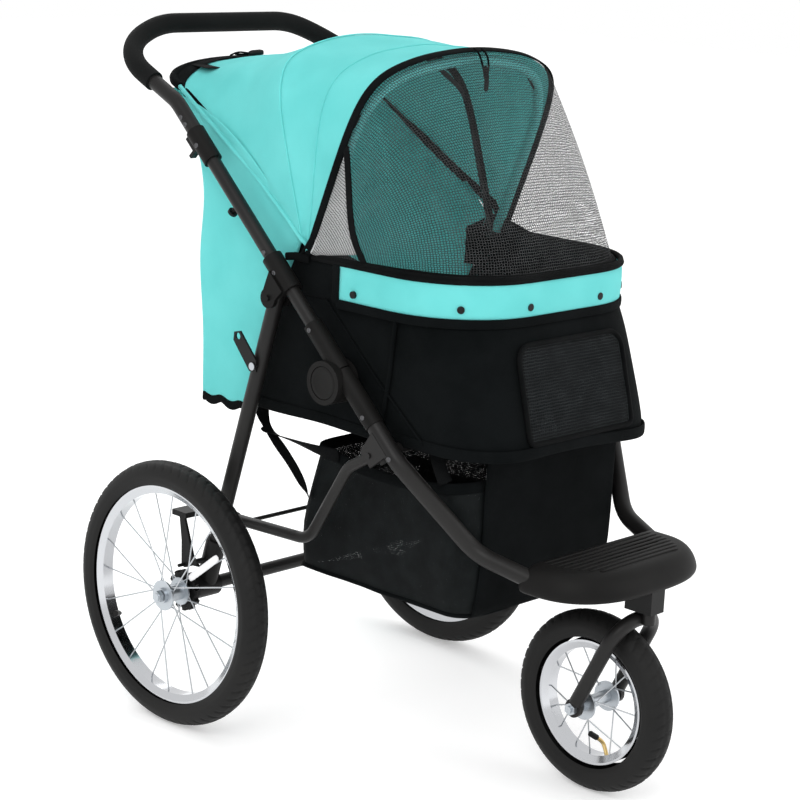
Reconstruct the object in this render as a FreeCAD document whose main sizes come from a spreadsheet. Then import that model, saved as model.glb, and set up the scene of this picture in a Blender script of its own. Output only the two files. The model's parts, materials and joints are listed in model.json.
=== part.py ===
import FreeCAD, Part
import math
import os

# Folding three-wheel pet stroller.  Millimetres, +Z up, front towards -Y.
# The origin is the middle of the floor rectangle that the stroller covers.
# Side-view places are given from the rear axle line and moved back by axle_back.

Vector = FreeCAD.Vector
Rotation = FreeCAD.Rotation
Placement = FreeCAD.Placement

SIZES = {
    "axle_back": 215.8, "frame_half": 220, "track_half": 283, "wheelbase": 555,
    "caster_trail": 80, "cabin_half": 194, "cloth": 4,
    "rear_wheel_radius": 193, "rear_rim_radius": 158.5, "rear_tyre_radius": 21,
    "front_wheel_radius": 127, "front_rim_radius": 87, "front_tyre_radius": 22,
    "handle_radius": 11, "grip_radius": 14.5, "upper_radius": 10, "front_radius": 12,
    "leg_radius": 11, "link_radius": 8, "axle_tube_radius": 9.5, "tray_radius": 7,
    "hoop_radius": 3.5, "fork_radius": 10, "wall": 1.5, "pin_radius": 4,
    "running_gap": 0.05, "rear_axle_radius": 6, "front_axle_radius": 5,
    "arm_radius": 13.5, "hinge_disc_radius": 30, "collar_radius": 13.5,
}

# Pivots of the fold, seen from the side (y from the rear axle, z from the floor).
MAIN_HINGE = (-249, 544)
LEG_PIVOT = (-132, 640)
LINK_FRONT = (-331, 460)
LINK_REAR = (-31, 297)
TUBE_SLOPE = math.radians(42.9)
TUBE_OFFSET = 21            # side tube's centre line above the main hinge
CANOPY_PIVOT = (-165, 698)
FRONT_LEAN = math.radians(-21)
MID_LEAN = math.radians(17.5)
CANOPY_RISE = 306
CORNER_TURN = math.radians(45)      # where a snap sits on each round corner of the rim band

doc = FreeCAD.newDocument("PetStroller")
sheet = doc.addObject("Spreadsheet::Sheet", "sizes")
for row, (alias, value) in enumerate(SIZES.items(), 1):
    sheet.set("A%d" % row, alias)
    sheet.set("B%d" % row, str(value))
    sheet.setAlias("B%d" % row, alias)
doc.recompute()

SUB_PARTS = {}


def size(alias):
    return float(sheet.get(alias))


AXLE_Z = size("rear_wheel_radius")
FRONT_Y = -size("wheelbase")
FRONT_Z = size("front_wheel_radius")
PIVOT_Y = FRONT_Y - size("caster_trail")
LOCK_Y = PIVOT_Y + 22
SIDE = size("frame_half")


def at(x, y, z):
    """A point given from the rear axle line, in the part's frame."""
    return Vector(x, y + size("axle_back"), z)


def along(u, v=0.0, x=None):
    """A point u along the right side tube and v off it, measured from the main hinge."""
    reach = v + TUBE_OFFSET
    y = MAIN_HINGE[0] + u * math.cos(TUBE_SLOPE) - reach * math.sin(TUBE_SLOPE)
    z = MAIN_HINGE[1] + u * math.sin(TUBE_SLOPE) + reach * math.cos(TUBE_SLOPE)
    return at(-SIDE if x is None else x, y, z)


def add(kind, name, **values):
    made = doc.addObject(kind, name)
    for key, value in values.items():
        setattr(made, key, value)
    return made


def keep(name, made):
    """Names a finished sub-part."""
    made.Label = name
    SUB_PARTS[name] = made
    return made


def turn_to(direction):
    return Rotation(Vector(0, 0, 1), direction)


def rod(name, start, end, radius):
    """A solid cylinder; radius is a number or an expression of the sheet's names."""
    made = add("Part::Cylinder", name, Height=(end - start).Length)
    if isinstance(radius, str):
        made.setExpression("Radius", radius)
    else:
        made.Radius = radius
    made.Placement = Placement(start, turn_to(end - start))
    return made


def cross_pin(name, y, z, x_from, x_to, radius):
    return rod(name, at(x_from, y, z), at(x_to, y, z), radius)


def block(name, low, high):
    start, end = at(*low), at(*high)
    made = add("Part::Box", name, Length=end.x - start.x, Width=end.y - start.y,
               Height=end.z - start.z)
    made.Placement = Placement(start, Rotation())
    return made


def joined(name, *pieces):
    return add("Part::MultiFuse", name, Shapes=list(pieces))


def minus(name, base, tool):
    return add("Part::Cut", name, Base=base, Tool=tool)


def group(name, *pieces):
    return add("Part::Compound", name, Links=list(pieces))


def mirrored(name, source):
    return keep(name, add("Part::Mirroring", name, Source=source, Normal=Vector(1, 0, 0)))


def bent_wire(points, radii):
    """Straight runs joined by tangent arcs, one radius for each inner point."""
    edges = []
    start = points[0]
    for index, radius in enumerate(radii, 1):
        corner = points[index]
        back = (points[index - 1] - corner).normalize()
        ahead = (points[index + 1] - corner).normalize()
        half = (math.pi - back.getAngle(ahead)) / 2
        reach = radius * math.tan(half)
        middle = corner + (back + ahead).normalize() * (radius / math.cos(half) - radius)
        enter, leave = corner + back * reach, corner + ahead * reach
        edges.append(Part.LineSegment(start, enter).toShape())
        edges.append(Part.Arc(enter, middle, leave).toShape())
        start = leave
    edges.append(Part.LineSegment(start, points[-1]).toShape())
    return Part.Wire(edges)


def bent_rod(name, points, radii, radius):
    """A solid round bar swept along a bent wire."""
    spine = add("Part::Feature", name + "_line", Shape=bent_wire(points, radii))
    ring = add("Part::Circle", name + "_ring")
    ring.setExpression("Radius", radius)
    ring.Placement = Placement(points[0], turn_to(points[1] - points[0]))
    return add("Part::Sweep", name, Sections=[ring], Spine=(spine, []), Solid=True, Frenet=False)


def bent_tube(name, points, radii, radius):
    outside = bent_rod(name + "_outside", points, radii, radius)
    inside = bent_rod(name + "_inside", points, radii, radius + " - sizes.wall")
    return outside, minus(name, outside, inside)


def straight_tube(name, start, end, radius):
    outside = rod(name + "_outside", start, end, radius)
    inside = rod(name + "_inside", start, end, radius + " - sizes.wall")
    return outside, minus(name, outside, inside)


def outline(name, points):
    return add("Part::Polygon", name, Nodes=points, Close=True)


def loft(name, sections):
    polygons = [outline("%s_%d" % (name, index), points) for index, points in enumerate(sections)]
    return add("Part::Loft", name, Sections=polygons, Solid=True, Ruled=True)


def side_prism(name, corners, half_width):
    """A side-view outline of (y, z) corners, extruded across the stroller."""
    base = outline(name + "_side", [at(-half_width, y, z) for y, z in corners])
    return add("Part::Extrusion", name, Base=base, Dir=Vector(2 * half_width, 0, 0), Solid=True,
               DirMode="Custom", LengthFwd=2 * half_width)


def revolved(name, profile, x_centre, y, z):
    """A profile of (x, radius) corners turned about a wheel's axle."""
    corners = [at(x_centre + dx, y, z + radius) for dx, radius in profile]
    base = outline(name + "_profile", corners)
    return add("Part::Revolution", name, Source=base, Axis=Vector(1, 0, 0), Base=at(0, y, z),
               Angle=360, Solid=True)


# ---------------------------------------------------------------- rear frame

def make_rear_frame():
    pivot = Vector(0, LEG_PIVOT[0], LEG_PIVOT[1])
    foot = Vector(0, 0, AXLE_Z)
    down = (foot - pivot).normalize()

    def on_leg(distance):
        place = pivot + down * distance
        return at(-SIDE, place.y, place.z)

    length = (foot - pivot).Length
    outside, tube = straight_tube("leg_tube", on_leg(-9), on_leg(length - 30), "sizes.leg_radius")
    bore = cross_pin("leg_bore", LEG_PIVOT[0], LEG_PIVOT[1], -SIDE - 20, -SIDE + 20,
                     "sizes.pin_radius + sizes.running_gap")
    mirrored("rear_leg_left", keep("rear_leg_right", minus("rear_leg_right", tube, bore)))
    axle_outside, axle = straight_tube("axle_tube", at(-238, 0, AXLE_Z), at(238, 0, AXLE_Z),
                                       "sizes.axle_tube_radius")
    keep("axle_tube", axle)
    stub = cross_pin("axle_stub", 0, AXLE_Z, -314, -238, "sizes.rear_axle_radius")
    nut = add("Part::Prism", "axle_nut", Polygon=6, Circumradius=9, Height=7)
    nut.Placement = Placement(at(-313, 0, AXLE_Z), turn_to(Vector(1, 0, 0)))
    right_stub = joined("axle_stub_right", stub, nut)
    left_stub = add("Part::Mirroring", "axle_stub_left", Source=right_stub, Normal=Vector(1, 0, 0))
    keep("wheel_axles", group("wheel_axles", right_stub, left_stub))
    housing = joined("bracket_body", cross_pin("bracket_hub", 0, AXLE_Z, -245.5, -203, 17),
                     rod("bracket_sleeve", on_leg(length - 78), on_leg(length), 15),
                     cross_pin("pedal_pin", -13, 237, -253.5, -230, 4))
    hollow = joined("bracket_hollow", outside, axle_outside, stub)
    mirrored("axle_bracket_left", keep("axle_bracket_right", minus("bracket", housing, hollow)))


# ---------------------------------------------------------------- upper frame

def make_upper_frame():
    collar_low, collar_high = 368, 422
    outside, tube = straight_tube("upper_tube", along(52), along(collar_high - 12),
                                  "sizes.upper_radius")
    mirrored("upper_tube_left", keep("upper_tube_right", tube))

    corners = [along(collar_high - 11), at(-SIDE, 86, 884), at(-SIDE, 216, 944),
               at(-130, 236, 980)]
    corners += [Vector(-point.x, point.y, point.z) for point in reversed(corners)]
    radii = [60, 88, 150]
    handle_outside, handle = bent_tube("handle_bar", corners, radii + radii[::-1],
                                       "sizes.handle_radius")
    keep("handle_bar", handle)
    share = 0.39
    grip_start = corners[1] + (corners[2] - corners[1]) * share
    grip_line = [grip_start] + corners[2:4]
    grip_line += [Vector(-point.x, point.y, point.z) for point in reversed(grip_line)]
    foam = bent_rod("grip_foam", grip_line, radii[1:] + radii[:0:-1], "sizes.grip_radius")
    keep("handle_grip", minus("handle_grip", foam, handle_outside))

    sleeve = rod("collar_sleeve", along(collar_low), along(collar_high), "sizes.collar_radius")
    collar = minus("collar", sleeve, joined("collar_bore", outside, handle_outside))
    mirrored("collar_left", keep("collar_right", collar))

    clip = rod("bracket_clip", along(138), along(196), 14.5)
    cheeks = []
    for x_from, x_to in ((-238, -231.6), (-208.4, -202)):
        shape = [at(x_from, y, z) for y, z in cheek_corners()]
        face = outline("cheek_%d" % -x_from, shape)
        plate = add("Part::Extrusion", "cheek_plate_%d" % -x_from, Base=face, Solid=True,
                    DirMode="Custom", Dir=Vector(1, 0, 0), LengthFwd=x_to - x_from)
        boss = cross_pin("cheek_boss_%d" % -x_from, LEG_PIVOT[0], LEG_PIVOT[1], x_from, x_to, 14)
        cheeks += [plate, boss]
    pin = cross_pin("leg_pin", LEG_PIVOT[0], LEG_PIVOT[1], -241, -200, "sizes.pin_radius")
    bracket = joined("leg_bracket_body", clip, *cheeks, pin)
    mirrored("leg_bracket_left",
             keep("leg_bracket_right", minus("leg_bracket", bracket, outside)))

    arm = rod("upper_arm", along(1), along(80), "sizes.arm_radius")
    disc = cross_pin("upper_disc", MAIN_HINGE[0], MAIN_HINGE[1], -242, -220.8,
                     "sizes.hinge_disc_radius")
    room = cross_pin("upper_room", MAIN_HINGE[0], MAIN_HINGE[1], -220.8, -190,
                     "sizes.hinge_disc_radius + 0.6")
    half = minus("hinge_upper_body", joined("hinge_upper_whole", arm, disc),
                 joined("hinge_upper_hollow", room, outside))
    dish = cross_pin("hinge_dish", MAIN_HINGE[0], MAIN_HINGE[1], -242, -239.5, 23)
    pin_bore = cross_pin("hinge_pin_bore", MAIN_HINGE[0], MAIN_HINGE[1], -242, -200,
                         "sizes.pin_radius")
    upper_half = minus("hinge_upper", half, joined("hinge_upper_holes", dish, pin_bore))
    mirrored("hinge_upper_left", keep("hinge_upper_right", upper_half))
    hinge_pin = cross_pin("hinge_pin_right", MAIN_HINGE[0], MAIN_HINGE[1], -239.5, -202,
                          "sizes.pin_radius")
    other_pin = add("Part::Mirroring", "hinge_pin_left", Source=hinge_pin, Normal=Vector(1, 0, 0))
    keep("hinge_pins", group("hinge_pins", hinge_pin, other_pin))

    post = joined("latch_post", rod("post_stem", along(291, -9.9), along(291, -17), 3.5),
                  rod("post_head", along(291, -17), along(291, -21), 7))
    keep("latch_post", minus("latch_post_cut", post, outside))


def cheek_corners():
    """Side-view corners of the leg bracket's ear, from the side tube down to the leg pin."""
    corners = []
    for u, v in ((140, -2), (140, -30), (162, -36), (176, -2)):
        point = along(u, v)
        corners.append((point.y - size("axle_back"), point.z))
    return corners


# ---------------------------------------------------------------- front frame

def make_front_frame():
    corners = [along(-50), along(-149), at(-155, -463, 342), at(-128, -552, 318)]
    outside, tube = bent_tube("front_tube_body", corners, [70, 70], "sizes.front_radius")
    tabs = []
    for x_from, x_to in ((-232.5, -228.6), (-211.4, -207.5)):
        ear = [along(-98, 0, x_from), along(-104, -36, x_from), along(-131, -36, x_from),
               along(-137, 0, x_from)]
        face = outline("tab_%d" % -x_from, ear)
        tabs.append(add("Part::Extrusion", "tab_plate_%d" % -x_from, Base=face, Solid=True,
                        DirMode="Custom", Dir=Vector(1, 0, 0), LengthFwd=x_to - x_from))
    link_pin = cross_pin("link_pin", LINK_FRONT[0], LINK_FRONT[1], -234.5, -206, 4)
    tab_set = minus("tab_set", joined("tab_pair", *tabs), outside)
    front_tube = joined("front_tube", tube, tab_set, link_pin)
    mirrored("front_tube_left", keep("front_tube_right", front_tube))

    arm = rod("lower_arm", along(-90), along(-1), "sizes.arm_radius")
    disc = cross_pin("lower_disc", MAIN_HINGE[0], MAIN_HINGE[1], -220.4, -203,
                     "sizes.hinge_disc_radius")
    room = cross_pin("lower_room", MAIN_HINGE[0], MAIN_HINGE[1], -250, -220.4,
                     "sizes.hinge_disc_radius + 0.6")
    bore = cross_pin("lower_bore", MAIN_HINGE[0], MAIN_HINGE[1], -250, -190,
                     "sizes.pin_radius + sizes.running_gap")
    half = minus("hinge_lower", joined("hinge_lower_whole", arm, disc),
                 joined("hinge_lower_hollow", room, bore, outside))
    mirrored("hinge_lower_left", keep("hinge_lower_right", half))
    return outside


def footrest_outline(inset, z):
    """Half-moon plan of the footrest: straight behind, bowed in front."""
    rear, front, half = -526 - 0.4 * inset, -650 + inset, 148 - inset
    points = [at(-half, rear, z)]
    steps = 14
    for step in range(steps + 1):
        angle = math.pi * step / steps
        x = -half * math.copysign(abs(math.cos(angle)) ** 0.75, math.cos(angle))
        y = rear - 22 + (front - rear + 22) * math.sin(angle) ** 0.8
        points.append(at(x, y, z))
    points.append(at(half, rear, z))
    return points


def make_footrest(tube_outside):
    levels = ((6, 303), (0, 310), (2, 322), (10, 334), (24, 342))
    body = loft("footrest_body", [footrest_outline(inset, z) for inset, z in levels])
    other_tube = add("Part::Mirroring", "tube_other", Source=tube_outside, Normal=Vector(1, 0, 0))
    yoke = block("headset_yoke", (-14, PIVOT_Y - 13, 275), (14, LOCK_Y + 9, 318))
    keep("footrest", minus("footrest", body,
                           joined("footrest_hollow", tube_outside, other_tube, yoke)))
    make_headset(yoke)


def make_headset(yoke):
    """Block under the footrest with the fork's stem bore and, behind it, the swivel lock."""
    stem_bore = rod("stem_bore", at(0, PIVOT_Y, 270), at(0, PIVOT_Y, 314), 9.05)
    lock_bore = rod("lock_bore", at(0, LOCK_Y, 270), at(0, LOCK_Y, 312), 4.05)
    slot = block("lock_slot", (-4.5, LOCK_Y + 2, 280), (4.5, LOCK_Y + 10, 302))
    keep("headset", minus("headset", yoke, joined("headset_hollow", stem_bore, lock_bore, slot)))
    pin = rod("lock_pin", at(0, LOCK_Y, 272), at(0, LOCK_Y, 300), 4)
    tab = block("lock_tab", (-4, LOCK_Y + 2, 289), (4, LOCK_Y + 23, 293))
    keep("swivel_lock", joined("swivel_lock", pin, tab))


# ---------------------------------------------------------------- cabin

def tub_outline(half, front, corner, rear, z, inset=0.0):
    """Plan of the tub: straight sides, round front corners, open-ended behind."""
    half, front, rear = half - inset, front + inset, rear + (30 if inset else 0)
    points = [at(-half, rear, z)]
    steps = 8
    for step in range(steps + 1):
        angle = math.pi / 2 * step / steps
        x = -half + corner * (1 - math.cos(angle))
        y = front + corner * (1 - math.sin(angle))
        points.append(at(x, y, z))
    points += [Vector(-point.x, point.y, point.z) for point in reversed(points)]
    return points


def make_cabin():
    cloth = size("cloth")
    half = size("cabin_half")
    levels = ((-500, 60, 480), (-472, 85, 600), (-452, 110, 648))
    outer = loft("tub_outer", [tub_outline(half, front, corner, -92, z)
                               for front, corner, z in levels])
    inner_levels = ((-500, 60, 480 + cloth), (-472, 85, 600), (-452, 110, 660))
    inner = loft("tub_inner", [tub_outline(half, front, corner, -92, z, cloth)
                               for front, corner, z in inner_levels])
    keep("cabin_tub", minus("cabin_tub", outer, inner))

    rim_outer = loft("rim_outer", [tub_outline(half + 8, -458, 130, -228, z)
                                   for z in (648.5, 700)])
    rim_inner = loft("rim_inner", [tub_outline(half + 8, -458, 130, -228, z, 6)
                                   for z in (640, 710)])
    keep("cabin_rim", minus("cabin_rim", rim_outer, rim_inner))

    snaps = [cross_pin("snap_side_%d" % side, -262, 662, min(side * 202.2, side * 205.5),
                       max(side * 202.2, side * 205.5), 5) for side in (-1, 1)]
    corner = at(-72, -328, 664)
    out = Vector(-math.sin(CORNER_TURN), -math.cos(CORNER_TURN), 0)
    snap = rod("snap_corner", corner + out * 130.2, corner + out * 133.5, 5)
    snaps += [snap, add("Part::Mirroring", "snap_corner_left", Source=snap,
                        Normal=Vector(1, 0, 0))]
    for x in (-72, 72):
        snaps.append(rod("snap_front_%d" % x, at(x, -458.2, 664), at(x, -461.5, 664), 5))
    keep("band_snaps", group("band_snaps", *snaps))

    profile = [(-91, 466), (48, 466), (56, 600), (57, 725), (70, 795), (104, 862), (150, 893),
               (90, 886), (-91, 778)]
    body = side_prism("rear_body", profile, half)
    cut_profile = [(-120, 460), (44, 460), (52, 600), (53, 727), (66, 797), (101, 866),
                   (146, 900), (-120, 900)]
    hollow = side_prism("rear_hollow", cut_profile, half - cloth)
    keep("rear_panel", minus("rear_panel", body, hollow))

    board = loft("floor_board", [tub_outline(half - 12, -486, 50, 40, z) for z in (485, 489)])
    keep("floor_board", board)
    pad = loft("cushion", [tub_outline(half - 14 - inset, -482 + inset, 50, 38 - inset, z)
                           for inset, z in ((6, 489.5), (0, 500), (4, 514), (14, 520))])
    keep("cushion", pad)

    loop = [at(0, -455, 470), at(-165, -455, 470), at(-165, -60, 470), at(165, -60, 470),
            at(165, -455, 470), at(0.5, -455, 470)]
    ring = bent_rod("tray_ring", loop, [40, 40, 40, 40], "sizes.tray_radius")
    bar = cross_pin("tray_bar", -352, 470, -209, 209, "sizes.tray_radius")
    keep("tray_frame", joined("tray_frame", ring, bar))

    basket_levels = ((150, -440, 40, -122, 240), (165, -452, 40, -132, 300),
                     (168, -455, 40, -165, 430))
    shell = loft("basket_outer", [tub_outline(w, front, corner, rear, z)
                                  for w, front, corner, rear, z in basket_levels])
    room_levels = ((147, -437, 40, -155, 243), (162, -449, 40, -165, 300),
                   (165, -452, 40, -203, 440))
    room = loft("basket_inner", [tub_outline(w, front, corner, rear, z, 0.01)
                                 for w, front, corner, rear, z in room_levels])
    keep("basket", minus("basket", shell, room))


# ---------------------------------------------------------------- canopy

def arch(lean, rise, half, start=0.0, inset=0.0):
    """Points of a hoop-shaped arch that leans from the canopy's pivot."""
    shape = [(-1.0, start), (-1.0, 0.25), (-1.0, 0.5), (-0.985, 0.66), (-0.94, 0.79),
             (-0.84, 0.875), (-0.65, 0.935), (-0.4, 0.975), (-0.15, 0.997)]
    shape = [pair for pair in shape if pair[1] >= start]
    shape += [(-across, up) for across, up in reversed(shape)]
    points = []
    for across, up in shape:
        x = across * (half - inset)
        height = up * (rise - inset)
        points.append(at(x, CANOPY_PIVOT[0] + height * math.sin(lean),
                         CANOPY_PIVOT[1] + height * math.cos(lean)))
    return points


def strip(outer, inner):
    """A closed outline from an arch and the same arch inside it."""
    return outer + inner[::-1]


def make_canopy():
    half = size("cabin_half") + 6
    for name, lean, inset in (("front_hoop", FRONT_LEAN, 14), ("mid_hoop", MID_LEAN, 23)):
        tall = CANOPY_RISE - inset
        wide = half - inset
        corners = [(-wide, 0), (-wide, 0.74 * tall), (-0.6 * wide, 0.95 * tall), (0, tall)]
        corners += [(-across, up) for across, up in reversed(corners[:-1])]
        line = [at(across, CANOPY_PIVOT[0] + up * math.sin(lean),
                   CANOPY_PIVOT[1] + up * math.cos(lean)) for across, up in corners]
        bow = bent_rod(name + "_bow", line, [55, 90, 200, 90, 55], "sizes.hoop_radius")
        rivets = [cross_pin("%s_rivet_%d" % (name, side), CANOPY_PIVOT[0], CANOPY_PIVOT[1],
                            *sorted((side * (wide - 4.3), side * (wide + 4.3))), 5.5)
                  for side in (-1, 1)]
        keep(name, joined(name, bow, *rivets))

    skin = []
    for lean, start in ((FRONT_LEAN, 0.16), (MID_LEAN, 0.2)):
        skin.append(strip(arch(lean, CANOPY_RISE, half + 1, start),
                          arch(lean, CANOPY_RISE, half + 1, start, 3)))
    skin.append(strip(rear_edge(half - 4, 0), rear_edge(half - 4, 3)))
    keep("canopy_top", loft("canopy_top", skin))

    screen = []
    for points in (arch(FRONT_LEAN, CANOPY_RISE - 1, half, 0.06),
                   arch(FRONT_LEAN, CANOPY_RISE - 1, half, 0.06, 2)):
        screen.append(points)
    front = strip(screen[0], screen[1])
    slim = [Vector(point.x, point.y - 6, point.z) for point in front]
    base = strip(rim_curve(half, 0), rim_curve(half, 2))
    keep("mesh_window", loft("mesh_window", [slim, base]))


def rear_edge(half, inset):
    """Bowed top edge of the back panel, with as many points as an arch."""
    count = len(arch(MID_LEAN, CANOPY_RISE, half, 0.2))
    points = []
    for index in range(count):
        angle = math.pi * index / (count - 1)
        across = -math.cos(angle)
        bow = math.sin(angle) - inset / 88
        points.append(at(across * (half - inset), 112 + 84 * bow, 902 + 26 * bow))
    return points


def rim_curve(half, inset):
    """Front rim of the cabin, with as many points as the screen's arch."""
    count = len(arch(FRONT_LEAN, CANOPY_RISE, half, 0.06))
    points = []
    for index in range(count):
        angle = math.pi * index / (count - 1)
        x = -math.copysign(abs(math.cos(angle)) ** 0.55, math.cos(angle)) * (half - inset)
        y = -192 - (262 - inset) * math.sin(angle) ** 0.75
        points.append(at(x, y, 702))
    return points


# ---------------------------------------------------------------- links, levers and latches

def make_links():
    corners = [at(-198, *LINK_REAR), at(-209, -200, 308), at(-220, -283, 432),
               at(-220, *LINK_FRONT)]
    outside, tube = bent_tube("link_tube", corners, [45, 38], "sizes.link_radius")
    eye = cross_pin("link_eye", LINK_FRONT[0], LINK_FRONT[1], -228.2, -211.8, 8.5)
    bore = cross_pin("link_bore", LINK_FRONT[0], LINK_FRONT[1], -230, -205, 4.05)
    end_eye = cross_pin("link_end_eye", LINK_REAR[0], LINK_REAR[1], -206.2, -190, 8)
    rivet = cross_pin("link_rivet", LINK_REAR[0], LINK_REAR[1], -190, -187, 6)
    link = minus("link", joined("link_whole", tube, eye, end_eye, rivet), bore)
    mirrored("link_left", keep("link_right", link))
    keep("cross_rod", cross_pin("cross_rod", LINK_REAR[0] - 24, LINK_REAR[1], -194, 194, 3))


def make_triggers():
    """Finger triggers that slide up the tube behind each collar."""
    turn = Rotation(Vector(1, 0, 0), math.degrees(TUBE_SLOPE))
    pieces = []
    for index, (u, v, long, thick, half) in enumerate(
            ((398, -19, 26, 5, 5), (398, -30, 5, 12, 5))):
        piece = add("Part::Box", "trigger_bar_%d" % index, Length=2 * half, Width=long,
                    Height=thick)
        corner = along(u, v)
        piece.Placement = Placement(Vector(corner.x - half, corner.y, corner.z), turn)
        pieces.append(piece)
    mirrored("fold_trigger_left", keep("fold_trigger_right", joined("fold_trigger", *pieces)))


def make_pedals():
    arm = [(-20, 231), (-7, 243), (14, 300), (24, 300), (18, 262), (17, 224), (9, 223), (-8, 230)]
    face = outline("pedal_arm_side", [at(-252.5, y, z) for y, z in arm])
    plate = add("Part::Extrusion", "pedal_arm", Base=face, Solid=True, DirMode="Custom",
                Dir=Vector(1, 0, 0), LengthFwd=4)
    bore = cross_pin("pedal_bore", -13, 237, -260, -240, 4.05)
    pad = block("pedal_pad", (-252.5, 10, 296), (-224, 40, 304))
    peg = cross_pin("pedal_peg", 12.3, 226.8, -262, -250, 2.5)
    pedal = minus("brake_pedal", joined("pedal_whole", plate, pad, peg), bore)
    mirrored("brake_pedal_left", keep("brake_pedal_right", pedal))


def make_storage_latch():
    root, tip = (-106, 540), (-74, 577)
    face = outline("latch_side", [at(-234.6, y, z) for y, z in
                                  ((-113, 533), (-99, 532), (-65, 570), (-66, 582), (-78, 585),
                                   (-112, 549))])
    plate = add("Part::Extrusion", "latch_plate", Base=face, Solid=True, DirMode="Custom",
                Dir=Vector(-1, 0, 0), LengthFwd=3)
    hole = cross_pin("latch_hole", tip[0], tip[1], -240, -230, 5)
    bore = cross_pin("latch_bore", root[0], root[1], -240, -230, 3.05)
    keep("storage_latch", minus("storage_latch", plate, joined("latch_holes", hole, bore)))
    pin = joined("latch_pin", cross_pin("latch_pin_stem", root[0], root[1], -238.6, -231, 3),
                 cross_pin("latch_pin_head", root[0], root[1], -240, -238.2, 5.5))
    keep("latch_pin", minus("latch_pin_cut", pin, doc.getObject("leg_tube_outside")))


# ---------------------------------------------------------------- wheels and fork

def make_wheel(name, side, y, z, tyre, rim_radius, wheel_radius, hub, spokes):
    """One spoked wheel: tyre, rim, hub and spokes, turning about an axle along X."""
    x = side * size("track_half")
    middle = wheel_radius - tyre
    ring = add("Part::Torus", name + "_tyre_ring", Radius1=middle, Radius2=tyre)
    ring.Placement = Placement(at(x, y, z), turn_to(Vector(1, 0, 0)))
    seat = cross_pin(name + "_tyre_seat", y, z, x - 14.5, x + 14.5, rim_radius + 0.5)
    keep(name + "_tyre", minus(name + "_tyre", ring, seat))
    bed = rim_radius - 9
    profile = [(-14, rim_radius), (-14, rim_radius - 3), (-9, bed - 3), (9, bed - 3),
               (14, rim_radius - 3), (14, rim_radius), (11, rim_radius), (7, bed), (-7, bed),
               (-11, rim_radius)]
    keep(name + "_rim", revolved(name + "_rim", profile, x, y, z))
    keep(name + "_hub", hub(name, x, side, y, z))
    reach, spread, flange, count = spokes
    bars = []
    for index in range(count):
        outer = 1 if index % 2 else -1
        angle = 2 * math.pi * index / count
        skew = math.radians(14) * (1 if index % 4 < 2 else -1)
        start = at(x + outer * spread, y + flange * math.sin(angle + skew * 2.2),
                   z + flange * math.cos(angle + skew * 2.2))
        end = at(x + outer * 3, y + reach * math.sin(angle), z + reach * math.cos(angle))
        bars.append(rod("%s_spoke_%d" % (name, index), start, end, 1.0))
    keep(name + "_spokes", group(name + "_spokes", *bars))


def rear_hub(name, x, side, y, z):
    """Barrel with two flanges and, on its inner end, the notched brake ring."""
    shape = [(-22, 6.05), (-22, 11), (-18, 11), (-18, 22), (-15.5, 22), (-15.5, 12), (13, 12),
             (13, 20), (15.5, 20), (15.5, 13), (19.5, 13), (19.5, 30), (27.5, 30), (27.5, 10),
             (29, 10), (29, 6.05)]
    profile = [(-side * dx, radius) for dx, radius in shape]
    body = revolved(name + "_hub_body", profile, x, y, z)
    notches = []
    count = 12
    peg_angle = math.atan2(12.3, 226.8 - AXLE_Z)
    low, high = sorted((x - side * 19, x - side * 28))
    for index in range(count):
        angle = peg_angle + 2 * math.pi * index / count
        notches.append(cross_pin("%s_notch_%d" % (name, index), y + 29.5 * math.sin(angle),
                                 z + 29.5 * math.cos(angle), low, high, 4.4))
    return minus(name + "_hub", body, joined(name + "_notches", *notches))


def front_hub(name, x, side, y, z):
    profile = [(-34, 5.05), (-34, 9), (-27, 9), (-27, 21), (-24.5, 21), (-24.5, 9), (24.5, 9),
               (24.5, 21), (27, 21), (27, 9), (34, 9), (34, 5.05)]
    return revolved(name + "_hub", profile, x, y, z)


def make_fork():
    corners = [at(-45, FRONT_Y - 3, FRONT_Z + 8), at(-43, -620, 262), at(43, -620, 262),
               at(45, FRONT_Y - 3, FRONT_Z + 8)]
    blades = bent_rod("fork_blades", corners, [38, 38], "sizes.fork_radius")
    ends = [cross_pin("fork_end_%d" % low, FRONT_Y, FRONT_Z, low, low + 7, 13) for low in (-48, 41)]
    stem = rod("fork_stem", at(0, PIVOT_Y, 258), at(0, PIVOT_Y, 312), 9)
    axle_bore = cross_pin("fork_axle_bore", FRONT_Y, FRONT_Z, -60, 60, 5)
    lock_hole = rod("fork_lock_hole", at(0, LOCK_Y, 262.5), at(0, LOCK_Y, 275), 4.4)
    keep("fork", minus("fork", joined("fork_whole", blades, *ends, stem),
                       joined("fork_holes", axle_bore, lock_hole)))
    axle = cross_pin("front_axle_bar", FRONT_Y, FRONT_Z, -58, 58, 5)
    nuts = []
    for low in (-55, 48):
        nut = add("Part::Prism", "front_nut_%d" % low, Polygon=6, Circumradius=9, Height=7)
        nut.Placement = Placement(at(low, FRONT_Y, FRONT_Z), turn_to(Vector(1, 0, 0)))
        nuts.append(nut)
    keep("front_axle", joined("front_axle", axle, *nuts))


make_rear_frame()
make_upper_frame()
make_footrest(make_front_frame())
make_cabin()
make_canopy()
make_links()
make_triggers()
make_pedals()
make_storage_latch()
make_fork()
for label, side in (("right", -1), ("left", 1)):
    make_wheel("rear_wheel_" + label, side, 0, AXLE_Z, size("rear_tyre_radius"),
               size("rear_rim_radius"), size("rear_wheel_radius"), rear_hub,
               (147, 14, 18, 20))
make_wheel("front_wheel", 0, FRONT_Y, FRONT_Z, size("front_tyre_radius"),
           size("front_rim_radius"), size("front_wheel_radius"), front_hub,
           (75.5, 25, 18, 16))

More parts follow.
